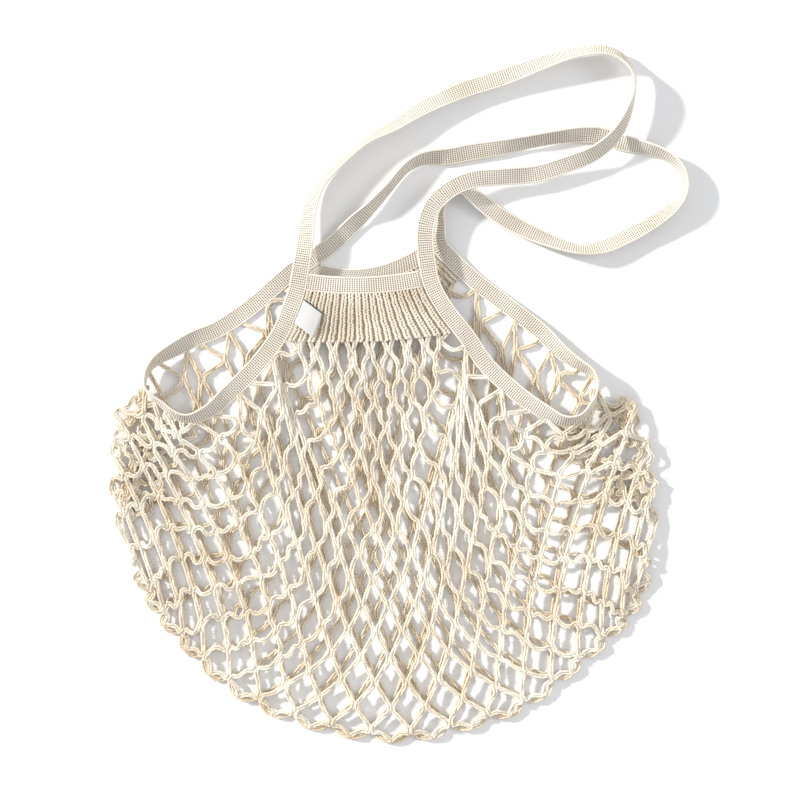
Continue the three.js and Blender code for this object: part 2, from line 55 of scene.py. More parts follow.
# Tape: width, thickness and weave
TAPE_WIDTH = 13.0
TAPE_THICKNESS = 1.4
WEAVE_PITCH = 1.72  # between two weft rungs
HOLES_ACROSS = 7
RUNG_SHARE = 0.27  # half of a rung, of the pitch
YARN_SHARE = 0.17  # half of a lengthwise yarn, of the distance between two
SELVEDGE = 1.1
RIM = 0.35  # of the selvedge, how far its rounded edge reaches in
OVER, UNDER = 1.15, 0.85  # heights where one yarn crosses the other, of half the thickness
RIM_HEIGHTS = (0.3, 1.1)  # of the selvedge's edge and of its next line
PIT_LIP, PIT_FLOOR = 0.75, 0.12  # heights of a pit's lip and floor
PIT_TAPER = 0.06  # how much a pit closes in towards its floor
SEWING_GAP = 0.4

# Mouth and ribs, as the solids have them
YOKE_DEPTH = {"front": 37.0, "back": 22.0}
MOUTH_SAG = {"front": 3.5, "back": 12.0}
YOKE_THICKNESS = 3.6
YOKE_TOP = TAPE_WIDTH + 2 * SEWING_GAP
RIB_COUNT = 17
STITCH_PITCH = 2.3
STITCH_RADIUS = 0.98
STITCH_SWELL = np.array([0.75, 1.05, 1.05, 0.8])  # along one side of a V
STITCH_SPREAD = (0.09, 0.19)  # of a V at its foot, and what it has more at its top, of a rib
STITCH_SPAN = (0.45, 1.55)  # where a V starts and ends, in pitches
STITCH_ARCH = 0.35
ARCH_SPAN = (0.1, 0.75)  # where a V's arch starts and how far it goes, of a half wave
STITCH_SIDES = 5
RIB_WANDER = 0.035
V_WANDER = 0.02
GROUND_HALF, GROUND_RIDGE = 0.25, 0.5  # behind the stitches
GROUND_STEPS = 6  # across one rib
GROUND_ROWS = 14
DENT_DEPTH = 3.0
DENT_PLACE = {"across": (0.33, 0.15), "down": (0.75, 0.3)}  # middle and spread, as shares

# Label, sewn in along one edge
LABEL_HEIGHT = 19.0
LABEL_WIDTH = 14.0
LABEL_SLOPE = 0.75  # how far its free edge slips down, as a share of its width
LABEL_DROP = 19.0  # from the corner down the tape to its upper edge
LABEL_HALF = 0.18
LABEL_LIFT = 0.35  # of its middle, above its solid's underside
LABEL_BULGE = 0.9
LABEL_ARCH = 0.9  # of a half wave, from the seam to its free edge
LABEL_LIMP = (0.4, 0.6)  # share of the bulge at its upper edge, and what its lower edge has more
LABEL_ROWS, LABEL_COLUMNS = 16, 12
THREAD_RADIUS = 0.35
THREAD_LIFT = 0.1

# Net: a tube of half columns, with its sides scooped out for the side openings
NET_WIDTH = 413.0
NET_DEPTH = 352.0
BAR_LENGTH = 21.2
PLY_RADIUS = 1.0  # each strand of the net is two plies
PLY_SIDES = 6
PLY_APART = (0.92, 0.12)  # a ply from the strand's middle, and its swing, in ply radii
PLY_SWELL = (0.93, 0.2)  # a ply's mean radius and its swing, in ply radii
ROLL_HEIGHT = 0.8  # of a strand that has rolled onto its edge, of its width
JOINT_HALF = 2.2  # half of the stretch over which two strands lie side by side
JOINT_SHIFT = (0.6, 1.6)  # of a strand beside its neighbour: the least, and the most in ply radii
STRAIGHT = 0.05  # a strand that turns less than this at a joint runs straight on
LOWEST_MIDDLE = 1.25  # of a strand above the floor, in ply radii
NET_STEP = 1.05  # between two sections of a ply
RIB_STRANDS = 18
SIDE_STEPS = 10  # half columns outside the ribs, on each hand
HALF_COLUMNS = RIB_STRANDS + 2 * SIDE_STEPS
FOLD_ROW = 17
EDGE_ROWS = [2, 3, 2, 3, 4, 3, 4, 5, 4, 5, 6]  # the net's first row, for each step outside the ribs
SIDE_ROW = EDGE_ROWS[-1]  # where the side folds begin
WALL_END = {"left": 0.53, "right": 0.535}  # share of a side tape where front and back net part
BAR_STEPS = 5  # points of a bar's line
BACK_HEIGHT = 1.8
FRONT_HEIGHT = 5.2
TAUT = 1.0  # a bar with less than this to spare is drawn straight
BOW_LIMIT = 0.42  # of a bar's length
FOLD_BOW = (0.75, 2.2)  # of the last bars: share of the bow, and the least
DOUBLE_BOWS = 0.3  # share of the bars that bow to both sides
DOUBLE_SIZE = 0.6  # of such a bow
MOST_LEAN = 0.6  # of a bow, up from the floor
RISE = {"front": 0.8, "back": 0.15}  # share of its lean that a bow keeps
STAR_INSET = 7.5  # of the last joints before the bottom fold, from the outline
FOLD_CROWDING = 0.2  # how much closer the columns are at the fold's corners than in its middle
ROW_CROWDING = 0.13  # how much closer the rows are at the bottom fold
PATCH_SHARE = 0.6  # how far the side folds shape the first places of the joints
RIB_BAR_SHARE = 0.45  # of a full bar's length, for the short first bars below the ribs
FAN_POWER = 1.5  # above 1 the strands stay close below the ribs and fan out further down
TAPE_REACH = -0.8  # how far past a tape's edge the net is caught, negative into the seam
FIRST_STEP = 1.3  # of the net's first joint along the tape, in steps
RIB_REACH = 0.6  # by which the strands start inside the ribs
EDGE_THICKNESS = 2.8  # of the ribs where the strands start
STRETCH = 0.98  # share of its yarn that a bar can span
PULL_SHARE = 0.55  # of what a bar lacks, made good in one pass
FLANK_STIFFNESS = 0.25  # of the flanks' slack bars, as a share of the others'
SETTLING = [(600, 0.14, 0.2), (200, 0.05, 0.3)]  # passes, evening and stiffness
LAST_SETTLING = (80, 0.02, 0.3)
CRUMPLE = (0.5, 2.6)  # in the middle of the net, and what the flanks have more
FLANK_START = 9  # half columns from the middle
SIDE_RISE = 2.0  # of the side folds at their upper end
EDGE_FADE = (5, 1.6)  # rows and power over which the edge's height fades
WAVES = {"ripple": 1.6, "flank": 2.2}  # heights by which the front wall wavers
RIPPLE_TURN = (0.9, 0.35)  # radians for each half column and each row
ROLLS = [(17.0, 0.5), (7.3, 0.25)]  # length and size of the rolls of a strand's two plies
TUCK_STRANDS = 6  # of the net's side, gathered in between the walls below the end of each side tape
TUCK_ROWS = 10
TUCK_TOP = 56.0  # length of the tape that they hang from
TUCK_FOOT = 26.0  # width of the gathered net at its lower end
TUCK_SHARE = 0.14  # of the outline, how far down it reaches
TUCK_INSET = 3.0
TUCK_HEIGHT = 4.5
TUCK_CRUMPLE = {"up": 1.3, "aside": 1.6}

# Lower outline of the net, as shares of NET_WIDTH and NET_DEPTH, from left to right
OUTLINE = [
    (-0.433, -0.264), (-0.453, -0.305), (-0.46, -0.371), (-0.463, -0.447), (-0.459, -0.507),
    (-0.429, -0.609), (-0.388, -0.713), (-0.337, -0.788), (-0.279, -0.859), (-0.212, -0.918),
    (-0.108, -0.969), (0.028, -0.999), (0.128, -0.992), (0.282, -0.937), (0.37, -0.862),
    (0.437, -0.793), (0.488, -0.728), (0.518, -0.643), (0.531, -0.554), (0.531, -0.5),
    (0.526, -0.424), (0.509, -0.33), (0.479, -0.269),
]
CORNER_SHARE = {"left": 0.19, "right": 0.80}  # where the bottom fold starts and ends on the outline
OUTLINE_POINTS = 400
INSIDE_SHARE = (0.02, -0.45)  # of a place well inside the net

# Camera: the width of the floor that it sees, its height, and the picture's middle
PICTURE_MM = 600.0
CAMERA_HEIGHT = 1800.0
PICTURE_MIDDLE = (1.8, -5.2)
SENSOR = 36.0

# Floor in metres, and lights: name, direction to the light, strength, spread in degrees, colour
FLOOR_HALF = 4.0
WORLD_STRENGTH = 0.66
SUNS = [
    ("key", (-56, 25, 29), 3.9, 4.0, (1.0, 0.985, 0.96)),
    ("right_soft", (60, 10, 40), 0.7, 20.0, (0.97, 0.985, 1.0)),
]


def unit(v):
    """The same directions with length 1."""
    return v / np.maximum(np.linalg.norm(v, axis=-1, keepdims=True), 1e-9)


def spline(a, b, c, d, t):
    """Point between b and c, at share t, on a smooth curve through a, b, c and d."""
    return 0.5 * ((2 * b) + (c - a) * t + (2 * a - 5 * b + 4 * c - d) * t ** 2
                  + (3 * b - a - 3 * c + d) * t ** 3)


def smooth_line(points, count):
    """Points at even distances on a smooth curve through the given ones."""
    p = np.asarray(points, float)
    padded = np.vstack([2 * p[0] - p[1], p, 2 * p[-1] - p[-2]])
    fine = []
    for k in range(len(p) - 1):
        a, b, c, d = padded[k:k + 4]
        t = np.linspace(0, 1, SPLINE_STEPS, endpoint=False)[:, None]
        fine.append(spline(a, b, c, d, t))
    fine = np.vstack(fine + [p[-1:]])
    steps = np.linalg.norm(np.diff(fine, axis=0), axis=1)
    reach = np.concatenate([[0], np.cumsum(steps)])
    wanted = np.linspace(0, reach[-1], count)
    return np.stack([np.interp(wanted, reach, fine[:, k]) for k in range(p.shape[1])], axis=1)


def new_mesh(name, points, faces, material):
    """Smooth mesh object from points in millimetres and a list or array of faces."""
    mesh = bpy.data.meshes.new(name)
    mesh.from_pydata((np.asarray(points) * MM).tolist(), [], [list(map(int, f)) for f in faces])
    mesh.update()
    mesh.shade_smooth()
    obj = bpy.data.objects.new(name, mesh)
    bpy.context.scene.collection.objects.link(obj)
    mesh.materials.append(material)
    return obj


class Tape:
    """Middle line and width direction of a tape, read from its solid's sections."""

    def __init__(self, node, start_near, net_towards):
        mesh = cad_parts[node].data
        corners = np.array([v.co for v in mesh.vertices]) / MM
        _, first, number = np.unique(
            np.round(corners, 2), axis=0, return_index=True, return_inverse=True)
        corners = corners[first]
        edges = self.edges_of(mesh, number.reshape(-1))
        sections = self.sections_of(corners, edges)
        order, middle = self.in_order(corners, edges, sections, start_near)
        self.middle = middle
        self.across = self.widths_of(corners, [sections[k] for k in order], net_towards)
        self.ends = middle[[0, -1]]
        steps = np.linalg.norm(np.diff(middle, axis=0), axis=1)
        self.reach = np.concatenate([[0], np.cumsum(steps)])
        self.length = self.reach[-1]

    @staticmethod
    def edges_of(mesh, number):
        """Pairs of numbered corners that an edge of the mesh joins."""
        edges = set()
        for polygon in mesh.polygons:
            ring = [int(number[i]) for i in polygon.vertices]
            for a, b in zip(ring, ring[1:] + ring[:1]):
                edges.add((min(a, b), max(a, b)))
        return edges

    @staticmethod
    def sections_of(corners, edges):
        """Rectangles as wide and as thick as the tape, each as four corners."""
        near = {}
        for a, b in edges:
            length = np.linalg.norm(corners[a] - corners[b])
            if min(abs(length - TAPE_THICKNESS), abs(length - TAPE_WIDTH)) < 0.02:
                near.setdefault(a, []).append((b, length > TAPE_WIDTH / 2))
                near.setdefault(b, []).append((a, length > TAPE_WIDTH / 2))
        wide = {a: [b for b, is_wide in linked if is_wide] for a, linked in near.items()}
        thin = {a: [b for b, is_wide in linked if not is_wide] for a, linked in near.items()}
        sections = set()
        for a in near:
            for b in wide[a]:
                for c in thin[b]:
                    for d in wide[c]:
                        if a in thin[d]:
                            sections.add(frozenset((a, b, c, d)))
        return [sorted(section) for section in sections if len(section) == 4]

    @staticmethod
    def in_order(corners, edges, sections, start_near):
        """The sections' order from one end to the other, and their middles in it."""
        middles = np.array([corners[section].mean(axis=0) for section in sections])
        owner = {corner: k for k, section in enumerate(sections) for corner in section}
        beside = {k: set() for k in range(len(sections))}
        for a, b in edges:
            if a in owner and b in owner and owner[a] != owner[b]:
                beside[owner[a]].add(owner[b])
                beside[owner[b]].add(owner[a])
        ends = [k for k in beside if len(beside[k]) == 1]
        order = [min(ends, key=lambda k: np.linalg.norm(middles[k] - start_near))]
        while len(order) < len(sections):
            order.append(next(k for k in beside[order[-1]] if k not in order))
        return order, middles[order]

    @staticmethod
    def widths_of(corners, sections, net_towards):
        """Direction across the tape at each section, to the side where the net is."""
        across = []
        towards = np.asarray(net_towards, float)
        for section in sections:
            p = corners[section]
            by_distance = sorted((np.linalg.norm(p[0] - p[k]), k) for k in (1, 2, 3))
            side = unit(p[by_distance[1][1]] - p[0])
            towards = side if side @ towards > 0 else -side
            across.append(towards)
        return np.array(across)

    def at(self, distance):
        """Middle and width direction at distances along the tape."""
        d = np.atleast_1d(np.asarray(distance, float))
        place = np.searchsorted(self.reach, d, side="right") - 1
        place = np.clip(place, 0, len(self.reach) - 2)
        span = self.reach[place + 1] - self.reach[place]
        t = ((d - self.reach[place]) / span)[:, None]
        p = self.middle
        a = p[np.maximum(place - 1, 0)]
        b, c = p[place], p[place + 1]
        e = p[np.minimum(place + 2, len(p) - 1)]
        inside = (t >= 0) & (t <= 1)
        point = np.where(inside, spline(a, b, c, e, t), b + (c - b) * t)
        across = unit(self.across[place] * (1 - t) + self.across[place + 1] * t)
        forward = unit(c - b)
        across = unit(across - forward * (across * forward).sum(axis=1, keepdims=True))
        return point, across

    def seam(self, distance, gap=SEWING_GAP):
        """Points on the net's side of the tape, gap outside its edge."""
        point, across = self.at(distance)
        return point + across * (TAPE_WIDTH / 2 + gap)


def make_tape_lines():
    """The four long tapes, each from the end that is nearest to the mouth's left or right."""
    low, high = (np.array(corner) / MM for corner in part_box("front_rib_yoke"))
    top = high[1] + TAPE_WIDTH
    left = Tape("left_binding", (low[0], top, low[2]), (1, 0, 0))
    right = Tape("right_binding", (high[0] - 2 * TAPE_WIDTH, top, low[2]), (-1, 0, 0))
    return {
        "left_binding": left,
        "right_binding": right,
        "front_handle": Tape("front_handle", left.ends[0], (-1, 0, 0)),
        "back_handle": Tape("back_handle", left.ends[1], (-0.6, 0.7, 0)),
    }


TAPES = make_tape_lines()
left_binding = TAPES["left_binding"]
right_binding = TAPES["right_binding"]


def from_shares(shares):
    """Places on the floor from shares of the net's width and depth."""
    start = (left_binding.ends[0] + right_binding.ends[0])[:2] / 2
    return np.array(shares) * (NET_WIDTH, NET_DEPTH) + start


def make_outline():
    """The net's lower outline as an even line, from the left side tape to the right one."""
    left_end = left_binding.seam(left_binding.length * WALL_END["left"])[0]
    right_end = right_binding.seam(right_binding.length * WALL_END["right"])[0]
    line = np.vstack([left_end[:2], from_shares(OUTLINE), right_end[:2]])
    return smooth_line(line, OUTLINE_POINTS)


OUTLINE_LINE = make_outline()
INSIDE = from_shares(INSIDE_SHARE)


# Materials

def cotton(name, base, shade, weave_scale, bump, speckle=0.35):
    """Matte cotton: yarn-fine noise for colour, and a bump of twisted fibres."""
    material = bpy.data.materials.new(name)
    material.use_nodes = True
    nodes = material.node_tree.nodes
    links = material.node_tree.links
    shader = nodes["Principled BSDF"]
    shader.inputs["Roughness"].default_value = 0.88
    shader.inputs["Sheen Weight"].default_value = 0.25
    shader.inputs["Sheen Roughness"].default_value = 0.5
    shader.inputs["Specular IOR Level"].default_value = 0.25
    place = nodes.new("ShaderNodeTexCoord")
    fibre = nodes.new("ShaderNodeTexNoise")
    fibre.inputs["Scale"].default_value = weave_scale
    fibre.inputs["Detail"].default_value = 4.0
    fibre.inputs["Roughness"].default_value = 0.65
    cloud = nodes.new("ShaderNodeTexNoise")
    cloud.inputs["Scale"].default_value = 28.0
    cloud.inputs["Detail"].default_value = 2.0
    mix_noise = nodes.new("ShaderNodeMix")
    mix_noise.data_type = "FLOAT"
    mix_noise.inputs["Factor"].default_value = speckle
    ramp = nodes.new("ShaderNodeValToRGB")
    ramp.color_ramp.elements[0].position = 0.36
    ramp.color_ramp.elements[0].color = (*shade, 1)
    ramp.color_ramp.elements[1].position = 0.58
    ramp.color_ramp.elements[1].color = (*base, 1)
    bumps = nodes.new("ShaderNodeBump")
    bumps.inputs["Strength"].default_value = bump
    bumps.inputs["Distance"].default_value = 0.0006
    links.new(place.outputs["Object"], fibre.inputs["Vector"])
    links.new(place.outputs["Object"], cloud.inputs["Vector"])
    links.new(cloud.outputs["Fac"], mix_noise.inputs["A"])
    links.new(fibre.outputs["Fac"], mix_noise.inputs["B"])
    links.new(mix_noise.outputs["Result"], ramp.inputs["Fac"])
    links.new(ramp.outputs["Color"], shader.inputs["Base Color"])
    links.new(fibre.outputs["Fac"], bumps.inputs["Height"])
    links.new(bumps.outputs["Normal"], shader.inputs["Normal"])
    return material


TAPE_COTTON = cotton("tape_cotton", (0.87, 0.82, 0.73), (0.76, 0.69, 0.58), 900.0, 0.35)
# painted shade: dark brown for the walls and floors of the tape's pits, where shade falls inside
# them
TAPE_PAINTED_SHADE = cotton("tape_painted_shade", (0.40, 0.32, 0.23), (0.27, 0.20, 0.13), 900.0, 0.3)
RIB_COTTON = cotton("rib_cotton", (0.84, 0.78, 0.665), (0.64, 0.54, 0.40), 700.0, 0.5)
# painted shade: darker brown for the ground sheet behind the stitches, as the shade between the
# ribs
RIB_PAINTED_SHADE = cotton("rib_painted_shade", (0.60, 0.49, 0.35), (0.44, 0.33, 0.21), 700.0, 0.4)
NET_COTTON = cotton("net_cotton", (0.94, 0.885, 0.775), (0.70, 0.56, 0.38), 800.0, 0.8, 0.62)
# painted shade: the same yarn as the front net, darker and warmer for the shade the back wall lies
# in
BACK_NET_PAINTED_SHADE = cotton("back_net_painted_shade", (0.88, 0.79, 0.645), (0.60, 0.45, 0.27), 800.0, 0.8, 0.62)
LABEL_CLOTH = cotton("label_cloth", (0.74, 0.73, 0.72), (0.66, 0.65, 0.64), 1500.0, 0.2)
EDGE_THREAD = cotton("edge_thread", (0.05, 0.045, 0.04), (0.02, 0.02, 0.02), 1200.0, 0.2)


def dress(piece, slot, *hidden):
    """A piece of the bag: it rides on the one body and may stand for solids. Its slot is not used.
    """
    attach(piece, "root")
    if hidden:
        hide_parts(*hidden)


# Woven tape with pits between its yarns, painted darker inside as shade

def woven_band(name, point, across):
    """Ladder weave along a line: a rung for each point and a pit for each cell, on both faces. The
    pits' walls and floors take a darker material: painted shade.
    """
    face = unit(np.cross(unit(np.gradient(point, axis=0)), across))
    rows = len(point)
    half = TAPE_THICKNESS / 2
    inner = TAPE_WIDTH / 2 - SELVEDGE
    lines = np.linspace(-inner, inner, HOLES_ACROSS + 1)
    rim = np.array([-TAPE_WIDTH / 2, -TAPE_WIDTH / 2 + RIM])
    offsets = np.concatenate([rim, lines, -rim[::-1]])
    columns = len(offsets)
    woven = (np.arange(rows)[:, None] + np.arange(columns)[None, :]) % 2
    points, faces, pits = [], [], []

    def put(position):
        start = sum(len(p) for p in points)
        points.append(position.reshape(-1, 3))
        return np.arange(start, start + len(points[-1])).reshape(position.shape[:-1])

    def quads(corners, level, into):
        quad = np.stack(corners, axis=-1).reshape(-1, 4)
        into.append(quad if level > 0 else quad[:, ::-1])

    grid = {}
    cell = lines[1] - lines[0]
    for level in (1, -1):
        height = half * np.where(woven == (1 if level > 0 else 0), OVER, UNDER)
        height[:, [0, -1]] = half * RIM_HEIGHTS[0]
        height[:, [1, -2]] = half * RIM_HEIGHTS[1]
        where = (point[:, None] + across[:, None] * offsets[None, :, None]
                 + face[:, None] * (level * height)[..., None])
        grid[level] = put(where)
        ring = {}
        for depth, close in ((PIT_LIP, 0.0), (PIT_FLOOR, PIT_TAPER)):
            corners = []
            for u, v in ((0, 0), (1, 0), (1, 1), (0, 1)):
                edge = RUNG_SHARE + close
                along = edge + (1 - 2 * edge) * v
                mid = point[:-1] * (1 - along) + point[1:] * along
                out = unit(face[:-1] * (1 - along) + face[1:] * along)
                side = unit(across[:-1] * (1 - along) + across[1:] * along)
                margin = (YARN_SHARE + close) * cell
                place = lines[:-1] + margin + (cell - 2 * margin) * u
                corners.append(mid[:, None] + side[:, None] * place[None, :, None]
                               + out[:, None] * (level * half * depth))
            ring[depth] = put(np.stack(corners, axis=2))
        g, lip, low = grid[level], ring[PIT_LIP], ring[PIT_FLOOR]
        span = slice(len(rim), len(rim) + HOLES_ACROSS)
        after = slice(len(rim) + 1, len(rim) + 1 + HOLES_ACROSS)
        corner = [g[:-1, span], g[:-1, after], g[1:, after], g[1:, span]]
        for k in range(4):
            n = (k + 1) % 4
            quads([corner[k], corner[n], lip[:, :, n], lip[:, :, k]], level, faces)
            quads([lip[:, :, k], lip[:, :, n], low[:, :, n], low[:, :, k]], level, pits)
        quads([low[:, :, k] for k in range(4)], level, pits)
        for a in (0, 1, columns - 3, columns - 2):
            quads([g[:-1, a], g[:-1, a + 1], g[1:, a + 1], g[1:, a]], level, faces)
    top, low = grid[1], grid[-1]
    quads([top[:-1, 0], top[1:, 0], low[1:, 0], low[:-1, 0]], 1, faces)
    quads([top[1:, -1], top[:-1, -1], low[:-1, -1], low[1:, -1]], 1, faces)
    quads([top[0, 1:], top[0, :-1], low[0, :-1], low[0, 1:]], 1, faces)
    quads([top[-1, :-1], top[-1, 1:], low[-1, 1:], low[-1, :-1]], 1, faces)
    faces, pits = np.vstack(faces), np.vstack(pits)
    piece = new_mesh(name, np.vstack(points), np.vstack([faces, pits]), TAPE_COTTON)
    # painted shade: slot 1, the darker material, goes on the pits' walls and floors
    piece.data.materials.append(TAPE_PAINTED_SHADE)
    slots = np.zeros(len(faces) + len(pits), int)
    slots[len(faces):] = 1
    piece.data.polygons.foreach_set("material_index", slots)
    return piece


def make_tapes():
    """The two side tapes and the two straps, woven."""
    for node, tape in TAPES.items():
        rows = int(round(tape.length / WEAVE_PITCH)) + 1
        distance = np.linspace(-SEWING_GAP, tape.length + SEWING_GAP, rows)
        dress(woven_band("woven_" + node, *tape.at(distance)), "tape", node)


# Mouth: bands and ribs between the two side tapes

def layer_point(layer, q, distance, thickness):
    """Point of the front or back layer: q across from tape to tape, distance down the tapes."""
    q, distance = np.broadcast_arrays(np.asarray(q, float), np.asarray(distance, float))
    shape = q.shape
    flat_q, flat_d = q.reshape(-1), distance.reshape(-1)
    if layer == "front":
        left = left_binding.seam(flat_d)
        right = right_binding.seam(flat_d)
    else:
        left = left_binding.seam(left_binding.length - flat_d)
        right = right_binding.seam(right_binding.length - flat_d)
    point = left + (right - left) * flat_q[:, None]
    point[:, 1] -= MOUTH_SAG[layer] * 4 * flat_q * (1 - flat_q)
    point[:, 2] = np.maximum(point[:, 2], thickness / 2)
    return point.reshape(*shape, 3)


def make_band(layer):
    """Tape along the mouth's front or back edge."""
    inset = 1.0
    left, right = layer_point(layer, [0.0, 1.0], SEWING_GAP, 0)
    pitches = int(round(np.linalg.norm(right - left) / WEAVE_PITCH))
    q = np.linspace(0, 1, pitches + 1)
    middle = layer_point(layer, q, SEWING_GAP + TAPE_WIDTH / 2, TAPE_THICKNESS)
    upper = layer_point(layer, q, SEWING_GAP + inset, TAPE_THICKNESS)
    lower = layer_point(layer, q, SEWING_GAP + TAPE_WIDTH - inset, TAPE_THICKNESS)
    band = woven_band("woven_" + layer + "_band", middle, unit(upper - lower))
    dress(band, "tape", layer + "_top_band")


def tube(path, radius, sides):
    """Closed round tube along a path, with one radius or one for each point."""
    forward = unit(np.gradient(path, axis=0))
    guide = UP if abs(forward[0] @ UP) < 0.95 else np.array([1.0, 0, 0])
    side = np.empty_like(path)
    last = unit(np.cross(forward[0], guide))
    for k in range(len(path)):
        last = unit(last - forward[k] * (last @ forward[k]))
        side[k] = last
    out = np.cross(side, forward)
    angle = np.linspace(0, 2 * np.pi, sides, endpoint=False)
    radius = np.broadcast_to(np.asarray(radius, float), (len(path),))[:, None]
    a = (np.cos(angle)[None, :] * radius)[..., None]
    b = (np.sin(angle)[None, :] * radius)[..., None]
    points = path[:, None] + side[:, None] * a + out[:, None] * b
    index = np.arange(len(path) * sides).reshape(len(path), sides)
    after = np.roll(index, -1, axis=1)
    quads = np.stack([index[:-1], index[1:], after[1:], after[:-1]], axis=-1).reshape(-1, 4)
    caps = [index[0, ::-1].tolist(), index[-1].tolist()]
    return points.reshape(-1, 3), quads.tolist() + caps


def two_faced(upper, lower):
    """Closed sheet between two grids of points. Returns points and faces."""
    rows, columns = upper.shape[:2]
    index = np.arange(rows * columns).reshape(rows, columns)
    quads = np.stack([index[:-1, :-1], index[1:, :-1], index[1:, 1:], index[:-1, 1:]], axis=-1)
    quads = quads.reshape(-1, 4)
    border = np.concatenate([index[0, :-1], index[:-1, -1], index[-1, :0:-1], index[:0:-1, 0]])
    after = np.roll(border, -1)
    below = index.size
    rim = np.stack([border, after, after + below, border + below], axis=-1)
    points = np.vstack([upper.reshape(-1, 3), lower.reshape(-1, 3)])
    return points, np.vstack([quads, quads[:, ::-1] + below, rim]).tolist()


def joined(parts):
    """One list of points and faces from several."""
    points, faces, start = [], [], 0
    for p, f in parts:
        points.append(p)
        faces.extend([[i + start for i in face] for face in f])
        start += len(p)
    return np.vstack(points), faces


def dent(layer, q, down):
    """How far the front ribs sink in at the shallow dent left of their middle."""
    if layer == "back":
        return np.zeros(np.shape(q))
    (q_middle, q_spread), (down_middle, down_spread) = DENT_PLACE["across"], DENT_PLACE["down"]
    return DENT_DEPTH * np.exp(-((q - q_middle) / q_spread) ** 2
                               - ((down - down_middle) / down_spread) ** 2)


def rib_ground(layer):
    """Ridged sheet behind the stitches. Returns points and faces."""
    q = np.linspace(0, 1, RIB_COUNT * GROUND_STEPS + 1)
    q, down = np.meshgrid(q, np.linspace(0, 1, GROUND_ROWS + 1))
    middle = layer_point(layer, q, YOKE_TOP + down * YOKE_DEPTH[layer], YOKE_THICKNESS)
    ridge = GROUND_HALF + GROUND_RIDGE * (0.5 - 0.5 * np.cos(2 * np.pi * RIB_COUNT * q))
    half = UP * ridge[..., None]
    sunk = UP * dent(layer, q, down)[..., None]
    return two_faced(middle + half - sunk, middle - half - sunk)


def make_yoke(layer, rng):
    """Ribs knitted in columns of V stitches, on both faces of a ridged ground, which is painted
    darker as shade between the ribs.
    """
    depth = YOKE_DEPTH[layer]
    parts = [rib_ground(layer)]
    ground_faces = len(parts[0][1])
    stitches = int(round(depth / STITCH_PITCH))
    t = np.linspace(0, 1, len(STITCH_SWELL))
    foot, top = STITCH_SPREAD
    arch = STITCH_ARCH * np.sin(np.pi * (ARCH_SPAN[0] + ARCH_SPAN[1] * t))
    wander = rng.normal(0, RIB_WANDER, (RIB_COUNT, stitches + 2))
    places = itertools.product(range(RIB_COUNT), range(-1, stitches), (-1, 1), (1, -1))
    for k, j, hand, outward in places:
        start = YOKE_TOP + depth * (j + STITCH_SPAN[0]) / stitches
        end = min(YOKE_TOP + depth * (j + STITCH_SPAN[1]) / stitches, YOKE_TOP + depth)
        spread = foot + top * np.cos(np.pi * t / 2) + rng.normal(0, V_WANDER)
        aside = wander[k, j + 1] * (1 - t) + wander[k, j + 2] * t
        q_line = (k + 0.5 + hand * spread + aside) / RIB_COUNT
        down_line = start + (end - start) * t
        line = layer_point(layer, q_line, down_line, YOKE_THICKNESS)
        line[:, 2] += outward * (YOKE_THICKNESS / 2 - STITCH_RADIUS + arch)
        line[:, 2] -= dent(layer, q_line, (down_line - YOKE_TOP) / depth)
        parts.append(tube(line, STITCH_RADIUS * STITCH_SWELL, STITCH_SIDES))
    points, faces = joined(parts)
    points[:, 2] = np.maximum(points[:, 2], CLEARANCE["rib"])
    piece = new_mesh(layer + "_ribs", points, faces, RIB_COTTON)
    # painted shade: the ground's faces take the darker material
    piece.data.materials.append(RIB_PAINTED_SHADE)
    for polygon in piece.data.polygons[:ground_faces]:
        polygon.material_index = 1
    dress(piece, "rib", layer + "_rib_yoke")


# Net: places of its joints, its bars and its strands

def outline_point(share):
    """Point on the net's lower outline, share 0 at the left side tape, 1 at the right one."""
    place = np.asarray(share, float) * (len(OUTLINE_LINE) - 1)
    k = np.clip(np.floor(place).astype(int), 0, len(OUTLINE_LINE) - 2)
    t = (place - k)[..., None]
    return OUTLINE_LINE[k] * (1 - t) + OUTLINE_LINE[k + 1] * t


def edge_point(layer, column):
    """Where the net's upper edge is held at a column, by the ribs or by a side tape."""
    start = YOKE_TOP + YOKE_DEPTH[layer]
    if SIDE_STEPS < column < HALF_COLUMNS - SIDE_STEPS:
        q = (column - SIDE_STEPS) / RIB_STRANDS
        return layer_point(layer, q, start - RIB_REACH, EDGE_THICKNESS)
    hand = "left" if column < HALF_COLUMNS / 2 else "right"
    tape = left_binding if hand == "left" else right_binding
    end = tape.length * (WALL_END[hand] if layer == "front" else 1 - WALL_END[hand])
    steps_out = SIDE_STEPS - column if hand == "left" else column - (HALF_COLUMNS - SIDE_STEPS)
    distance = start + (end - start) * (steps_out + FIRST_STEP) / (SIDE_STEPS + FIRST_STEP)
    return tape.seam(distance if layer == "front" else tape.length - distance, TAPE_REACH)[0]


def first_row(column):
    """Row of the net's upper edge at a column: 0 under the ribs, further down beside them."""
    outside = max(SIDE_STEPS - column, column - (HALF_COLUMNS - SIDE_STEPS))
    return EDGE_ROWS[int(outside)] if outside >= 0 else 0


def joint_exists(column, row):
    """Every other place of the lattice, between the net's upper edge and its fold."""
    in_rows = max(first_row(column), 1) <= row <= FOLD_ROW
    return in_rows and (column + row + SIDE_STEPS) % 2 == 0


def held_by_tape(column, row):
    """A first joint is sewn to the tape unless both of its neighbours hang it from above."""
    if row != first_row(column) or row == 0:
        return False
    beside = (column - 1, column + 1)
    return column in (0, HALF_COLUMNS) or not all(0 < first_row(c) < row for c in beside)


def fold_share(column):
    """Share of the outline where a column meets the bottom fold, closer together at the corners."""
    t = 2 * column / HALF_COLUMNS - 1
    t = t * (1 + FOLD_CROWDING) - FOLD_CROWDING * t ** 3
    left, right = CORNER_SHARE["left"], CORNER_SHARE["right"]
    return left + (right - left) * (t + 1) / 2


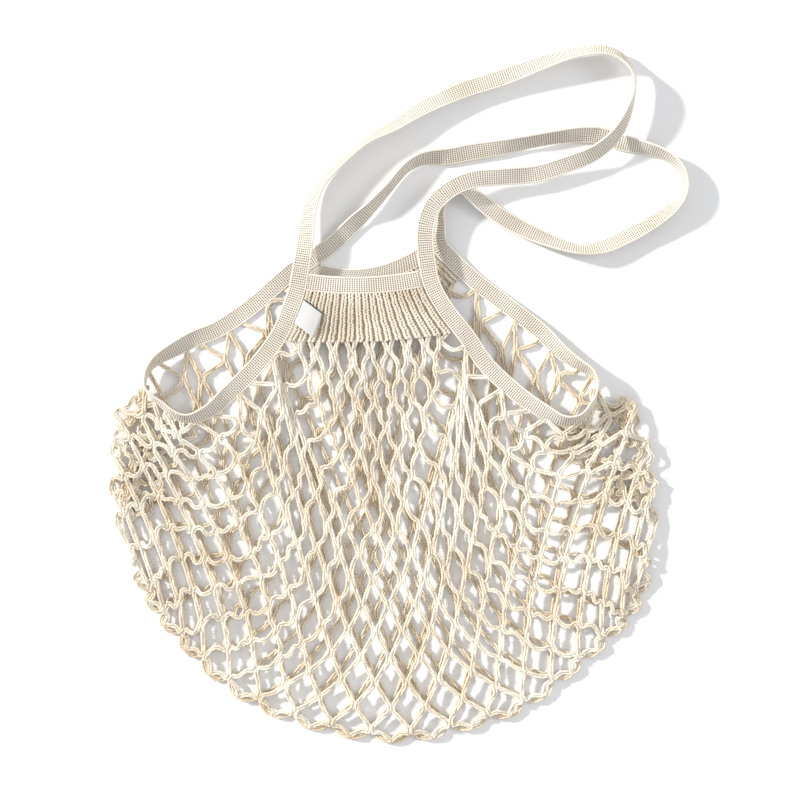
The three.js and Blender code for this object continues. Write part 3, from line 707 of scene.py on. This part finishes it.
def patch_point(layer, column, row):
    """First place of a joint: a patch stretched between mouth, side folds and bottom fold."""
    left, right = CORNER_SHARE["left"], CORNER_SHARE["right"]
    u = (fold_share(column) - left) / (right - left)
    top_row = first_row(column)
    if top_row == 0:
        top_row = 1 - RIB_BAR_SHARE
    elif not held_by_tape(column, top_row):
        top_row -= 1
    v = (row - top_row) / (FOLD_ROW - top_row)
    v = v * (1 + ROW_CROWDING - ROW_CROWDING * v)
    w = np.array([v ** FAN_POWER, v])
    top = edge_point(layer, column)[:2]
    bottom = outline_point(fold_share(column))
    left_side = outline_point(left * v)
    right_side = outline_point(1 - (1 - right) * v)
    corners = [outline_point(0.0), outline_point(1.0), outline_point(left), outline_point(right)]
    straight = (1 - w) * top + w * bottom
    place = (straight + (1 - u) * left_side + u * right_side
             - ((1 - u) * (1 - w) * corners[0] + u * (1 - w) * corners[1]
                + (1 - u) * w * corners[2] + u * w * corners[3]))
    share = 1 if column in (0, HALF_COLUMNS) else PATCH_SHARE
    return share * place + (1 - share) * straight


def joint_start(layer, column, row):
    """First place of a joint, and whether it stays there."""
    if row == 0 or held_by_tape(column, row):
        return edge_point(layer, column), True
    between = (BACK_HEIGHT + FRONT_HEIGHT) / 2
    fold = outline_point(fold_share(column))
    if row == FOLD_ROW:
        return np.append(fold, between), True
    if row == FOLD_ROW - 1:
        height = FRONT_HEIGHT if layer == "front" else BACK_HEIGHT
        return np.append(fold + unit(INSIDE - fold) * STAR_INSET, height), True
    place = patch_point(layer, column, row)
    if column in (0, HALF_COLUMNS):
        rise = SIDE_RISE * (FOLD_ROW - row) / (FOLD_ROW - SIDE_ROW)
        return np.append(place, between + rise), True
    return np.append(place, BACK_HEIGHT), False


class Net:
    """Joints of both walls: their places, which of them stay, rows, columns and edge heights."""

    def __init__(self):
        self.number = {}
        self.place = []
        self.pinned = []
        self.lattice = []
        self.wall = []
        self.top = []

    def add(self, layer, column, row, place, pinned):
        self.place.append(place)
        self.pinned.append(pinned)
        self.lattice.append((row, column))
        self.wall.append(layer)
        self.top.append(edge_point(layer, column)[2])
        return len(self.place) - 1

    def joint(self, layer, column, row):
        shared = row == FOLD_ROW or (column in (0, HALF_COLUMNS) and row >= SIDE_ROW)
        key = ("both" if shared else layer, column, row)
        if key not in self.number:
            place, pinned = joint_start(layer, column, row)
            self.number[key] = self.add(layer, column, row, place, pinned)
        return self.number[key]


def build_net():
    """The net's joints in their first places, and each strand as a list of joints."""
    net = Net()
    strands = []
    for layer in ("front", "back"):
        for strand in range(HALF_COLUMNS):
            stops = []
            if from_ribs(strand):
                middle = strand + 0.5
                stops.append(net.add(layer, middle, 0, edge_point(layer, middle), True))
            places = itertools.product(range(1, FOLD_ROW + 1), (strand, strand + 1))
            found = [(c, r) for r, c in places if joint_exists(c, r)]
            while not stops and held_by_tape(*found[0]) and held_by_tape(*found[1]):
                found.pop(0)
            stops += [net.joint(layer, c, r) for c, r in found]
            strands.append((layer, strand, stops))
    return net, strands


def from_ribs(strand):
    """Whether a strand starts below the ribs and not at a side tape."""
    return SIDE_STEPS <= strand < HALF_COLUMNS - SIDE_STEPS


def settle(net, strands, rng):
    """Let the joints move until no bar is longer than its yarn, then give them their heights."""
    x = np.array(net.place)
    free = ~np.array(net.pinned)
    bars = {tuple(sorted(pair)) for _, _, stops in strands for pair in zip(stops, stops[1:])}
    bars = np.array(sorted(bars))
    a, b = bars.T
    count = len(x)
    ties = np.maximum(np.bincount(bars.reshape(-1), minlength=count), 1)[:, None]
    movers = np.maximum(free[a].astype(float) + free[b], 1)
    row, column = np.array(net.lattice, float).T
    outside = np.abs(column - HALF_COLUMNS / 2) - FLANK_START
    flank = np.clip(outside / (HALF_COLUMNS / 2 - SIDE_STEPS), 0, 1)
    firmness = FLANK_STIFFNESS + (1 - FLANK_STIFFNESS) * (1 - (flank[a] + flank[b]) / 2)
    yarn = BAR_LENGTH * np.where(np.minimum(row[a], row[b]) == 0, RIB_BAR_SHARE, STRETCH)

    def pull(passes, evening, stiffness):
        for _ in range(passes):
            gap = x[b, :2] - x[a, :2]
            length = np.linalg.norm(gap, axis=1)
            over = (length - yarn) / np.maximum(length, 1e-6)
            over = np.where(over > 0, over, over * stiffness * firmness)
            move = np.zeros((count, 2))
            np.add.at(move, a, gap * (over / movers)[:, None])
            np.add.at(move, b, -gap * (over / movers)[:, None])
            mean = np.zeros((count, 2))
            np.add.at(mean, a, x[b, :2])
            np.add.at(mean, b, x[a, :2])
            x[free, :2] += (PULL_SHARE * move + evening * (mean / ties - x[:, :2]))[free]

    for setting in SETTLING:
        pull(*setting)
    middle, more = CRUMPLE
    crumple = rng.normal(0, 1, (count, 2)) * (middle + more * flank)[:, None]
    x[free, :2] += crumple[free]
    pull(*LAST_SETTLING)
    front = np.array([wall == "front" for wall in net.wall])
    top_row = np.array([first_row(c) if c == int(c) else 0 for c in column])
    fade_rows, power = EDGE_FADE
    below = np.clip(1 - (row - top_row) / fade_rows, 0, 1) ** power
    base = np.where(front, FRONT_HEIGHT, BACK_HEIGHT)
    ripple = WAVES["ripple"] * np.sin(column * RIPPLE_TURN[0] + row * RIPPLE_TURN[1]) ** 2
    wave = front * (ripple + flank * WAVES["flank"] * np.abs(rng.normal(0, 1, count)))
    height = base + np.maximum(np.array(net.top) - base, 0) * below + wave
    x[free, 2] = height[free]
    return x


def bar_line(start, end, layer, place, rng):
    """Points along one bar. What yarn it has to spare bows it sideways and a little up.

    The bow is a flat parabola's, which is longer than its chord by 8/3 bow * bow / chord.
    """
    chord = end - start
    length = np.linalg.norm(chord)
    yarn = BAR_LENGTH * (RIB_BAR_SHARE if place == "first" else 1.0) - 2 * JOINT_HALF
    spare = max(yarn - length - TAUT, 0.0)
    bow = min(math.sqrt(3 / 8 * spare * length), BOW_LIMIT * BAR_LENGTH)
    side = unit(np.cross(chord, UP))
    t = np.linspace(0, 1, BAR_STEPS + 1)[:-1, None]
    arch = np.sin(np.pi * t)
    if place == "last":
        outward = unit((start + end) / 2 - np.append(INSIDE, 0.0))
        outward[2] = 0
        hand = 1 if layer == "back" else -1
        return start + chord * t + outward * arch * max(bow * FOLD_BOW[0], FOLD_BOW[1]) * hand
    hand = rng.choice((-1, 1))
    double = rng.random() < DOUBLE_BOWS
    wave = np.sin(2 * np.pi * t) * DOUBLE_SIZE if double else arch
    lean = rng.uniform(0.0, MOST_LEAN)
    rise = UP * arch * bow * lean * RISE[layer]
    return start + chord * t + side * wave * bow * hand * math.sqrt(1 - lean ** 2) + rise


def strand_path(x, stops, layer, first_place, rng):
    """Smooth path of a strand. At each joint it lies beside its neighbour, not on it."""
    at = x[stops].copy()
    half_joint = np.zeros_like(at)
    for k in range(1, len(at) - 1):
        before, after = x[stops[k - 1]], x[stops[k + 1]]
        towards = (before + after) / 2 - x[stops[k]]
        along = unit(after - before)
        towards = towards - along * (towards @ along)
        size = np.linalg.norm(towards[:2])
        if size > STRAIGHT:
            shift = min(PLY_RADIUS * JOINT_SHIFT[1], JOINT_SHIFT[0] + size)
            at[k, :2] += towards[:2] / size * shift
            half_joint[k] = along * JOINT_HALF
    places = [first_place] + ["inner"] * (len(at) - 3) + ["last"]
    line = []
    for start, end, place in zip(at + half_joint, (at - half_joint)[1:], places):
        line += [bar_line(start, end, layer, place, rng), end[None]]
    line = np.vstack(line)
    length = np.linalg.norm(np.diff(line, axis=0), axis=1).sum()
    path = smooth_line(line, int(round(length / NET_STEP)) + 1)
    path[:, 2] = np.maximum(path[:, 2], PLY_RADIUS * LOWEST_MIDDLE)
    return path


def strand_mesh(path, rng):
    """Two plies side by side that roll about each other and swell with every stitch."""
    forward = unit(np.gradient(path, axis=0))
    side = unit(np.cross(forward, UP))
    out = np.cross(side, forward)
    s = np.arange(len(path)) * NET_STEP
    *phases, stitch_phase = rng.uniform(0, 2 * np.pi, len(ROLLS) + 1)
    roll = sum(size * np.sin(2 * np.pi * s / length + phase)
               for (length, size), phase in zip(ROLLS, phases))
    parts = []
    for ply in (0, 1):
        hand = 1 - 2 * ply
        stitch = np.sin(2 * np.pi * s / STITCH_PITCH + stitch_phase + np.pi * ply)
        apart = PLY_RADIUS * (PLY_APART[0] + PLY_APART[1] * stitch) * hand
        offset = (side * (apart * np.cos(roll))[:, None]
                  + out * (apart * np.sin(roll) * ROLL_HEIGHT)[:, None])
        radius = PLY_RADIUS * (PLY_SWELL[0] + PLY_SWELL[1] * stitch)
        parts.append(tube(path + offset, radius, PLY_SIDES))
    return joined(parts)


def tuck_paths(hand, rng):
    """Strands of the net's side where it is gathered in below a side tape's end."""
    tape, outer_share, foot_share = {
        "left": (left_binding, 0.0, TUCK_SHARE), "right": (right_binding, 1.0, 1 - TUCK_SHARE),
    }[hand]
    end = tape.length * WALL_END[hand]
    corner = tape.seam(end, TAPE_REACH)[0]
    foot = outline_point(foot_share)
    inward = unit(INSIDE - foot)
    x = []
    for column, row in itertools.product(range(TUCK_STRANDS + 1), range(TUCK_ROWS + 1)):
        u, v = column / TUCK_STRANDS, row / TUCK_ROWS
        top = tape.seam(end - TUCK_TOP * u, TAPE_REACH)[0]
        outer = outline_point(outer_share + (foot_share - outer_share) * v) + inward * TUCK_INSET
        place = (1 - v) * top[:2] + v * (foot + inward * TUCK_FOOT * u)
        place += (1 - u) * (outer - (1 - v) * corner[:2] - v * foot)
        height = TUCK_HEIGHT + TUCK_CRUMPLE["up"] * rng.normal() if row else top[2]
        aside = rng.normal(0, TUCK_CRUMPLE["aside"], 2) if row else 0.0
        x.append([*(place + aside), max(height, BACK_HEIGHT)])
    x = np.array(x).reshape(TUCK_STRANDS + 1, TUCK_ROWS + 1, 3)
    rows = np.arange(TUCK_ROWS + 1)
    for strand in range(TUCK_STRANDS):
        columns = strand + (rows + strand) % 2
        yield strand_path(x[columns, rows], rows, "front", "inner", rng)


def make_net():
    """All strands of both walls, as four pieces: the left and right half of each wall. The back
    wall is painted darker and warmer, as shade under the front wall.
    """
    rng = np.random.default_rng(SEEDS["net"])
    net, strands = build_net()
    x = settle(net, strands, rng)
    groups = {}
    for layer, strand, stops in strands:
        half = "left" if strand < HALF_COLUMNS / 2 else "right"
        first_place = "first" if from_ribs(strand) else "inner"
        path = strand_path(x, stops, layer, first_place, rng)
        groups.setdefault((layer, half), []).append(strand_mesh(path, rng))
    for half in ("left", "right"):
        tuck_rng = np.random.default_rng(SEEDS["tuck"])
        # the gathered strands take turns: front material, then the back wall's darker painted-shade
        # material
        for path, layer in zip(tuck_paths(half, tuck_rng), itertools.cycle(("front", "back"))):
            groups[layer, half].append(strand_mesh(path, tuck_rng))
    for (layer, half), parts in groups.items():
        points, faces = joined(parts)
        points[:, 2] = np.maximum(points[:, 2], CLEARANCE["net"])
        # painted shade: the back wall's pieces take the darker, warmer material
        material = NET_COTTON if layer == "front" else BACK_NET_PAINTED_SHADE
        dress(new_mesh(f"net_{layer}_{half}", points, faces, material), "net", "net_body")


# Label

def make_label():
    """Bare cloth, sewn into the seam by one edge, with a dark thread along its upper edge."""
    low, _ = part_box("label")
    down = np.linspace(0, 1, LABEL_ROWS + 1)
    s, q = np.meshgrid(down, np.linspace(0, 1, LABEL_COLUMNS + 1), indexing="ij")
    seam = left_binding.seam(LABEL_DROP + s.reshape(-1) * LABEL_HEIGHT).reshape(*s.shape, 3)
    place = seam + np.stack([q * LABEL_WIDTH, -q * LABEL_WIDTH * LABEL_SLOPE, 0 * q], axis=-1)
    limp = LABEL_LIMP[0] + LABEL_LIMP[1] * s
    bulge = LABEL_BULGE * np.sin(np.pi * q * LABEL_ARCH) ** 2 * limp
    place[..., 2] = low[2] / MM + LABEL_LIFT + bulge
    upper, lower = place + UP * LABEL_HALF, place - UP * LABEL_HALF
    piece = new_mesh("bare_label", *two_faced(upper, lower), LABEL_CLOTH)
    dress(piece, "label", "label")
    edge = tube(upper[0] + UP * THREAD_LIFT, THREAD_RADIUS, PLY_SIDES)
    dress(new_mesh("label_edge", *edge, EDGE_THREAD), "label")


# Floor, lights and camera

def make_stage():
    """A pale matte floor."""
    material = bpy.data.materials.new("floor_white")
    material.use_nodes = True
    shader = material.node_tree.nodes["Principled BSDF"]
    shader.inputs["Base Color"].default_value = (0.93, 0.93, 0.935, 1)
    shader.inputs["Roughness"].default_value = 0.9
    mesh = bpy.data.meshes.new("floor")
    corners = [(x * FLOOR_HALF, y * FLOOR_HALF, 0) for x, y in ((-1, -1), (1, -1), (1, 1), (-1, 1))]
    mesh.from_pydata(corners, [], [(0, 1, 2, 3)])
    mesh.materials.append(material)
    floor = bpy.data.objects.new("floor", mesh)
    bpy.context.scene.collection.objects.link(floor)


def add_sun(name, towards, strength, spread, colour):
    """A lamp that shines from far away, from the direction given."""
    lamp = bpy.data.lights.new(name, "SUN")
    lamp.energy = strength
    lamp.angle = math.radians(spread)
    lamp.color = colour
    obj = bpy.data.objects.new(name, lamp)
    obj.rotation_euler = Vector(towards).to_track_quat("Z", "Y").to_euler()
    bpy.context.scene.collection.objects.link(obj)


def make_lights():
    """The suns and an even sky."""
    for sun in SUNS:
        add_sun(*sun)
    world = bpy.data.worlds.new("studio")
    world.use_nodes = True
    background = world.node_tree.nodes["Background"]
    background.inputs["Color"].default_value = (0.97, 0.98, 1.0, 1)
    background.inputs["Strength"].default_value = WORLD_STRENGTH
    bpy.context.scene.world = world
    bpy.context.scene.view_settings.view_transform = "Standard"


def make_camera():
    """A camera that looks straight down."""
    data = bpy.data.cameras.new("camera")
    data.sensor_width = SENSOR
    data.lens = SENSOR * CAMERA_HEIGHT / PICTURE_MM
    camera = bpy.data.objects.new("camera", data)
    camera.location = (PICTURE_MIDDLE[0] * MM, PICTURE_MIDDLE[1] * MM, CAMERA_HEIGHT * MM)
    bpy.context.scene.collection.objects.link(camera)
    bpy.context.scene.camera = camera


make_camera()
make_stage()
make_lights()
make_tapes()
for side in ("front", "back"):
    make_band(side)
    make_yoke(side, np.random.default_rng(SEEDS["ribs"]))
make_label()
make_net()
